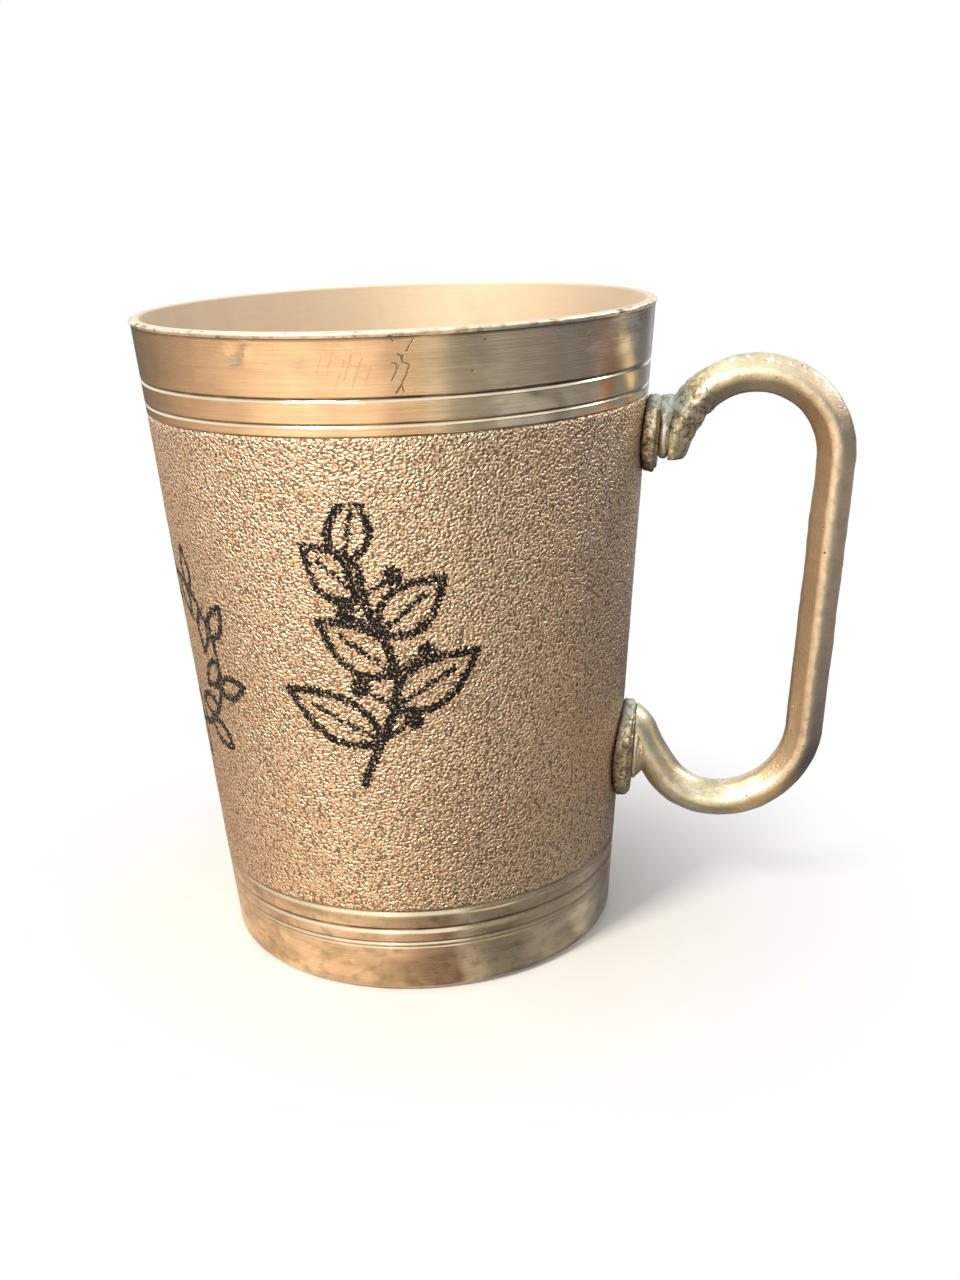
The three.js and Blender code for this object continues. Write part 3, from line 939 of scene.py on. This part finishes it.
def handle_stations():
    """Middle line of the handle, from the upper foot round to past the end of the lower one."""
    upper_bend = (GRIP_REACH - FOOT_REACH) / 2
    grip_bend = GRIP_REACH - LOWEST_REACH
    lowest = -RIVET_SPACING - LOWEST_DROP
    tail = steps_between(UPPER_END, -UPPER_BEND_DROP, ROD_STEP)[:-1]
    stations = [(FOOT_REACH, along, pi / 2) for along in tail]
    stations += arc(FOOT_REACH + upper_bend, -UPPER_BEND_DROP, upper_bend, pi, 0)
    grip = steps_between(-UPPER_BEND_DROP, lowest + grip_bend, ROD_STEP)[1:-1]
    stations += [(GRIP_REACH, along, -pi / 2) for along in grip]
    stations += arc(LOWEST_REACH, lowest + grip_bend, grip_bend, 0, -pi / 2)
    foot_bend = arc(LOWEST_REACH, lowest + LOWER_FOOT_BEND, LOWER_FOOT_BEND, -pi / 2, LOWER_FOOT_LEAN - pi)
    stations += foot_bend[1:]
    reach, along, travel = foot_bend[-1]
    run_length = (reach - FLANGE_FACE + ROD_THICKNESS / 2) / sin(LOWER_FOOT_LEAN)
    for run in steps_between(0, run_length, ROD_STEP)[1:]:
        stations.append((reach + run * cos(travel), along + run * sin(travel), travel))
    return stations


def rod_section():
    """A soft-edged octagon as points and the way that each faces, with corners cut at 45 degrees."""
    soft = ROD_EDGE
    cut_less = 0.586 * soft
    x, y = ROD_THICKNESS / 2 - soft, ROD_WIDTH / 2 - soft
    inner, outer = INNER_FLAT_CUT - cut_less, OUTER_FLAT_CUT - cut_less
    corners = [(x, -y + inner), (x, y - inner), (x - inner, y), (outer - x, y)]
    corners += [(-x, y - outer), (-x, outer - y), (outer - x, -y), (x - inner, -y)]
    outline = []
    facing = []
    for number, (a, b) in enumerate(corners):
        middle = number * pi / 4 - pi / 8
        for turn in np.linspace(middle - pi / 8, middle + pi / 8, 6):
            outline.append((a + soft * cos(turn), b + soft * sin(turn)))
            facing.append(turn)
    return np.array(outline), np.array(facing)


def turned_points(profile, columns, along):
    """Points of a piece turned about a rivet's line, from its section as (reach from the wall, radius)."""
    turns = np.tile(np.arange(columns) * 2 * pi / columns, len(profile))
    out, radius = np.repeat(profile, columns, axis=0).T
    return np.column_stack([out, radius * np.cos(turns), along + radius * np.sin(turns)])


def cut_away(piece, profile, along, columns=96):
    """Cuts a turned shape about a rivet's line out of a piece."""
    points = from_handle(turned_points(profile, columns, along))
    cutter = mesh_piece("cutter", points, ring_faces(len(profile), columns), smooth=False)
    cut = piece.modifiers.new("cut", "BOOLEAN")
    cut.object = cutter
    cut.solver = "EXACT"
    whole = piece.evaluated_get(bpy.context.evaluated_depsgraph_get())
    piece.data = bpy.data.meshes.new_from_object(whole)
    piece.modifiers.clear()
    bpy.data.objects.remove(cutter)


outline, facing = rod_section()
rings = []
oval = np.column_stack([ROD_THICKNESS / 2 * np.cos(facing), ROD_WIDTH / 2 * np.sin(facing)])
for reach, along, travel in handle_stations():
    is_lower = along < -0.5 * RIVET_SPACING
    roundness = max(SOFT_FLATS, is_lower * np.clip((LOWEST_REACH - reach) / ROUND_OVER, 0, 1))
    section = outline + (oval - outline) * roundness
    out = reach + section[:, 0] * sin(travel)
    up = along - section[:, 0] * cos(travel)
    rings.append(np.column_stack([out, section[:, 1], up]))

# The casting is a little lumpy, and most so near the upper foot.
local = np.concatenate(rings)
middles = np.repeat([ring.mean(0) for ring in rings], len(outline), 0)
outward = local - middles
outward /= np.linalg.norm(outward, axis=1)[:, None]
gnarled = np.clip(1.5 - np.linalg.norm((local - GNARLED_PLACE) / GNARLED_SPAN, axis=1), 0, 1)
lumps = BROAD_LUMP * (uneven(local, 0.008, 4) - 1.6) + FINE_LUMP * uneven(local, 0.0018, 5)
lumps += GNARLED_LUMP * gnarled * (uneven(local, 0.0011, 10) - 0.3)
local = local + outward * lumps[:, None]

# The upper foot narrows to its end on the outer side, and the end of the lower foot is rounded over.
upper_foot = (local[:, 0] < UPPER_FOOT_REACH) & (np.abs(local[:, 2]) < UPPER_FOOT_HALF)
taper_share = np.clip((UPPER_END + UPPER_TAPER - local[:, 2]) / UPPER_TAPER, 0, 1)
corner_share = np.clip((UPPER_END + UPPER_CORNER - local[:, 2]) / UPPER_CORNER, 0, 1) ** 2
narrowing = UPPER_NARROWING[0] * taper_share + UPPER_NARROWING[1] * corner_share
narrowing *= upper_foot & (local[:, 0] > FOOT_FACE)
local[:, 0] -= (local[:, 0] - FOOT_FACE) * narrowing
local[:, 1] *= 1 - UPPER_THINNING * (taper_share + corner_share) * upper_foot
above_rivet = local[:, 2] + RIVET_SPACING
lower_foot = (np.abs(above_rivet) < LOWER_FOOT_SPAN) & (local[:, 0] < LOWER_FOOT_SPAN)
shoulder = LOWER_SHOULDER * hump(above_rivet, SHOULDER_PLACE, SHOULDER_SPREAD) * lower_foot
local += outward * (shoulder * np.maximum(outward[:, 2], 0))[:, None]
past_end = local[:, 2] + RIVET_SPACING - LOWER_END
is_end = (past_end > 0) & (local[:, 0] < LOWER_END_REACH) & (past_end < 0.5 * RIVET_SPACING)
local[is_end, 2] -= past_end[is_end] - LOWER_END_ROUND * np.tanh(past_end[is_end] / LOWER_END_ROUND)
handle = mesh_piece("cast_handle", from_handle(local), ring_faces(len(rings), len(outline)))

# Oxide has grown where the upper foot leaves its washers, and thinly over the arch. The hand has worn the
# ridges, the grip is browner, and the lower bend has a smudge.
crust_core = np.linalg.norm((local - OXIDE_PLACE) / OXIDE_SPAN, axis=1)
arch_film = ARCH_FILM * np.clip((outward[:, 2] - 0.5) / 0.3, 0, 1) * (local[:, 2] > 0.003)
add_values(handle, "crust", np.maximum(np.clip(1.15 - crust_core, 0, 1), arch_film))
ridge = hump(np.abs(np.sin(facing)), 1, RIDGE_SPREAD)
add_values(handle, "worn", np.tile(ridge, len(rings)))
add_values(handle, "held", np.clip((local[:, 0] - HELD_FROM) / HELD_OVER, 0, 1))
add_values(handle, "gnarled", gnarled)
smudge_away = np.linalg.norm((local[:, ::2] - SMUDGE_PLACE) / SMUDGE_SPAN, axis=1)
add_values(handle, "smudge", np.clip(1.3 - smudge_away, 0, 1))

# Each foot is cut to sit on its washers and drilled for its rivet.
for along, seat in ((0, FOOT_FACE), (-RIVET_SPACING, COLLAR_BACK)):
    socket = FOOT_FACE + SOCKET_DEPTH
    cutter = [(-CUT_REACH, CUT_CORE), (-CUT_REACH, CUT_REACH), (seat, CUT_REACH)]
    cutter += [(seat, RIVET_BORE), (socket, RIVET_BORE), (socket, CUT_CORE)]
    cut_away(handle, cutter, along)


def cast_finish(name, colour, tarnish, roughness, grit, stain):
    """Cast aluminium: blotched and finely grained, with pits, worn ridges, dull oxide, grime, and painted
    shade where a washer meets the wall.
    """
    material, tree, shader = new_material(name)
    blotches = ramp(grain(tree, 0.004, detail=5), 0.4, 0.64)
    speckle = grain(tree, 0.0005, detail=3)
    fleck = ramp(grain(tree, 0.0009, detail=3), 0.3, 0.7, -0.4, 0.4)
    oxide = ramp(sums("ADD", painted(tree, "crust"), fleck), 0.36, 0.66)
    worn = times(painted(tree, "worn"), ramp(grain(tree, 0.0016, detail=3), 0.35, 0.6))
    metal = mixed(painted(tree, "held"), colour, HELD_COLOUR)
    metal = mixed(times(blotches, stain), metal, tarnish)
    metal = mixed(ramp(speckle, 0.45, 0.68, 0, 0.7 * stain), metal, tarnish)
    metal = mixed(worn, metal, WORN_COLOUR)
    smudged = sums("ADD", painted(tree, "smudge"), fleck)
    metal = mixed(ramp(smudged, 0.3, 0.8, 0, 0.75), metal, OXIDE)
    crevice = ramp(grain(tree, 0.0007, detail=4, twist=0.9), 0.38, 0.52, 0.8, 0)
    metal = mixed(times(crevice, painted(tree, "gnarled")), metal, GRIME_AND_SHADE)
    crusted = mixed(ramp(grain(tree, 0.0009, (1, 1, 2), 4), 0.38, 0.56), OXIDE, OXIDE_PALE)
    holes = pits(tree, 0.002, 0.35, 0.00022)
    dark = sums("MAXIMUM", times(holes, 0.8), painted(tree, "wall_shade"))
    height = sums("SUBTRACT", speckle, times(holes, 1.5))
    rough = ramp(blotches, 0, 1, roughness, roughness + 0.1)
    set_sockets(shader, {
        "Base Color": mixed(dark, mixed(oxide, metal, crusted), GRIME_AND_SHADE),
        "Roughness": sums("ADD", rough, ramp(oxide, 0, 1, 0, 0.3)),
        "Metallic": ramp(oxide, 0, 1, 1, 0.6),
        "Normal": raised(height, grit),
    })
    return material


handle.data.materials.append(
    cast_finish("cast_aluminium", HANDLE_COLOUR, HANDLE_TARNISH, roughness=0.36, grit=0.00005, stain=0.6)
)
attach(handle, "root")
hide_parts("handle")


# Flanges: two broad cast washers that spread the pull of the handle on the thin wall. Each is hollowed to
# the wall behind, and has a rough rim and a thin step near the edge of its face.
FLANGE_COLOUR = (0.88, 0.74, 0.5, 1)
FLANGE_TARNISH = (0.2, 0.15, 0.09, 1)
UPPER_FLANGE_RADIUS = 0.0067
LOWER_FLANGE_RADIUS = 0.0089
FLANGE_CORNER = 0.0003
FLANGE_RIM_TOP = 0.0007
FLANGE_SEAT_EDGE = 0.0011
RIM_WAVE = 0.00014
RIM_GRIT = 0.0002
WASHER_COLUMNS = 128

# The corners of the step: how far below the face, and how far in from the rim.
FLANGE_STEP = ((0.0004, 0.00025), (0.0004, 0.0006), (0.0001, 0.0008))


def grow(local, along, growth):
    """Moves points straight out from a rivet's line, each by its own growth."""
    pull = 1 + growth / np.maximum(np.hypot(local[:, 1], local[:, 2] - along), 0.001)
    local[:, 1] *= pull
    local[:, 2] = along + (local[:, 2] - along) * pull


def flange_profile(radius):
    """Section of a flange: flat back, upright rim, thin step and a flat seat for the collar."""
    back, face = FLANGE_BACK, FLANGE_FACE
    profile = [(back, r) for r in np.linspace(RIVET_BORE, radius - FLANGE_CORNER, 8)]
    profile += [(out, radius) for out in np.linspace(back + FLANGE_CORNER, face - FLANGE_RIM_TOP, 6)]
    profile += [(face - down, radius - inward) for down, inward in FLANGE_STEP]
    return profile + [(face, r) for r in np.linspace(radius - FLANGE_SEAT_EDGE, RIVET_BORE, 8)]


flange_finish = cast_finish(
    "cast_washer", FLANGE_COLOUR, FLANGE_TARNISH, roughness=0.32, grit=0.0002, stain=0.8
)
for name, node, radius, along in (
    ("upper_wall_flange", "upper_flange", UPPER_FLANGE_RADIUS, 0),
    ("lower_wall_flange", "lower_flange", LOWER_FLANGE_RADIUS, -RIVET_SPACING),
):
    profile = flange_profile(radius)
    local = turned_points(profile, WASHER_COLUMNS, along)
    from_axis = np.hypot(local[:, 1], local[:, 2] - along)
    rim_share = np.clip((from_axis / radius - 0.75) * 4, 0, 1)
    rough = (RIM_WAVE * uneven(local, 0.0028, 6) + RIM_GRIT * uneven(local, 0.0009, 7)) * rim_share
    grow(local, along, rough - RIM_GRIT * rim_share)
    wall_curve = wall_radius(rivet_height + along)
    hollow = wall_curve - np.sqrt(wall_curve ** 2 - local[:, 1] ** 2)
    behind = (FLANGE_FACE - local[:, 0]) / (FLANGE_FACE - FLANGE_BACK)
    local[:, 0] -= hollow * behind
    flange = mesh_piece(name, from_handle(local), ring_faces(len(profile), WASHER_COLUMNS, closed=True))
    crust = np.clip((local[:, 2] - along) / radius * 2.4 - 1.3, 0, 1) * (0.7 if along else 1)
    add_values(flange, "crust", crust)
    add_values(flange, "gnarled", 0.9 * rim_share)
    # Painted shade on the back of the flange, where it meets the wall.
    add_values(flange, "wall_shade", np.clip(1.6 * behind - 0.75, 0, 0.9))
    flange.data.materials.append(flange_finish)
    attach(flange, "root")
    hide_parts(node)


# Collars: a smaller turned ring on each flange, smooth and bright, that the handle's foot sits on. The
# upper one has a lump of oxide over its top, where water stays, and the lower one rises to its middle.
COLLAR_COLOUR = (0.86, 0.8, 0.68, 1)
COLLAR_TARNISH = (0.5, 0.42, 0.3, 1)
LOWER_RIM_HALF = 0.00035
LOWER_RISE = 0.0017
CRUST_GROWTH = 0.0019
CRUST_SPREAD = 0.9
CRUST_LUMP = 0.0006


def collar_profile(radius, half, rise):
    """Section of a collar with a rounded rim, whose face may rise towards the middle."""
    middle, face = COLLAR_BACK + half, COLLAR_BACK + 2 * half
    profile = [(COLLAR_BACK, r) for r in np.linspace(RIVET_BORE, radius - half, 4)]
    for turn in np.linspace(0.2, pi - 0.2, 9):
        profile.append((middle - half * cos(turn), radius - half + half * sin(turn) ** 0.7))
    shares = np.linspace(1, 0, 8)
    span = radius - half - RIVET_BORE
    return profile + [(face + rise * (1 - share ** 2), RIVET_BORE + span * share) for share in shares]


collar_finish = cast_finish(
    "turned_ring", COLLAR_COLOUR, COLLAR_TARNISH, roughness=0.24, grit=0.00004, stain=0.45
)
collar_middle = (COLLAR_BACK + COLLAR_FACE) / 2
for name, node, radius, half, rise, along in (
    ("upper_ring", "upper_collar", UPPER_COLLAR_RADIUS, (COLLAR_FACE - COLLAR_BACK) / 2, 0, 0),
    ("lower_ring", "lower_collar", LOWER_COLLAR_RADIUS, LOWER_RIM_HALF, LOWER_RISE, -RIVET_SPACING),
):
    profile = collar_profile(radius, half, rise)
    local = turned_points(profile, WASHER_COLUMNS, along)
    from_axis = np.hypot(local[:, 1], local[:, 2] - along)
    topness = np.clip((local[:, 2] - along) / radius * 2.2 - 1.0, 0, 1)
    topness *= (from_axis > 0.75 * radius) & (along == 0)
    grow(local, along, topness * (CRUST_GROWTH + CRUST_LUMP * uneven(local, 0.0013, 8)))
    local[:, 0] += (local[:, 0] - collar_middle) * CRUST_SPREAD * topness
    collar = mesh_piece(name, from_handle(local), ring_faces(len(profile), WASHER_COLUMNS, closed=True))
    add_values(collar, "crust", topness)
    collar.data.materials.append(collar_finish)
    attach(collar, "root")
    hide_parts(node)


# Rivets: one of soft aluminium through the wall and the washers into each foot, with a hammered, domed head
# on the inside of the cup.
RIVET_COLOUR = (0.64, 0.55, 0.43, 1)
RIVET_RADIUS = 0.002
RIVET_HEAD_RADIUS = 0.0045
RIVET_HEAD_HEIGHT = 0.0018
RIVET_HEAD_EDGE = 0.0002
RIVET_TIP = FOOT_FACE + SOCKET_DEPTH - SEAT_GAP
RIVET_TIP_CORNER = 0.0004
RIVET_CORE = 0.0002
HAMMER_DEPTH = 0.00006
RIVET_COLUMNS = 64
HEAD_GAP = 0.00053

head_seat = -WALL - HEAD_GAP
rivet_profile = []
for turn in np.linspace(0.04, pi / 2, 12):
    rivet_profile.append((head_seat - RIVET_HEAD_HEIGHT * cos(turn), RIVET_HEAD_RADIUS * sin(turn)))
rivet_profile += [(head_seat, RIVET_HEAD_RADIUS - RIVET_HEAD_EDGE), (head_seat, RIVET_RADIUS)]
rivet_profile += [(RIVET_TIP - RIVET_TIP_CORNER, RIVET_RADIUS), (RIVET_TIP, RIVET_RADIUS - RIVET_TIP_CORNER)]
rivet_profile.append((RIVET_TIP, RIVET_CORE))
rivet_finish = cast_finish(
    "rivet_metal", RIVET_COLOUR, COLLAR_TARNISH, roughness=0.28, grit=0.00005, stain=0.4
)
for name, node, along in (
    ("upper_rivet_pin", "upper_rivet", 0),
    ("lower_rivet_pin", "lower_rivet", -RIVET_SPACING),
):
    local = turned_points(rivet_profile, RIVET_COLUMNS, along)
    hammered = HAMMER_DEPTH * uneven(local, 0.0016, 9) * (local[:, 0] < head_seat - 0.0003)
    local[:, 0] += np.maximum(hammered, 0)
    faces = [tuple(reversed(face)) for face in ring_faces(len(rivet_profile), RIVET_COLUMNS)]
    rivet = mesh_piece(name, from_handle(local), faces)
    rivet.data.materials.append(rivet_finish)
    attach(rivet, "root")
    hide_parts(node)
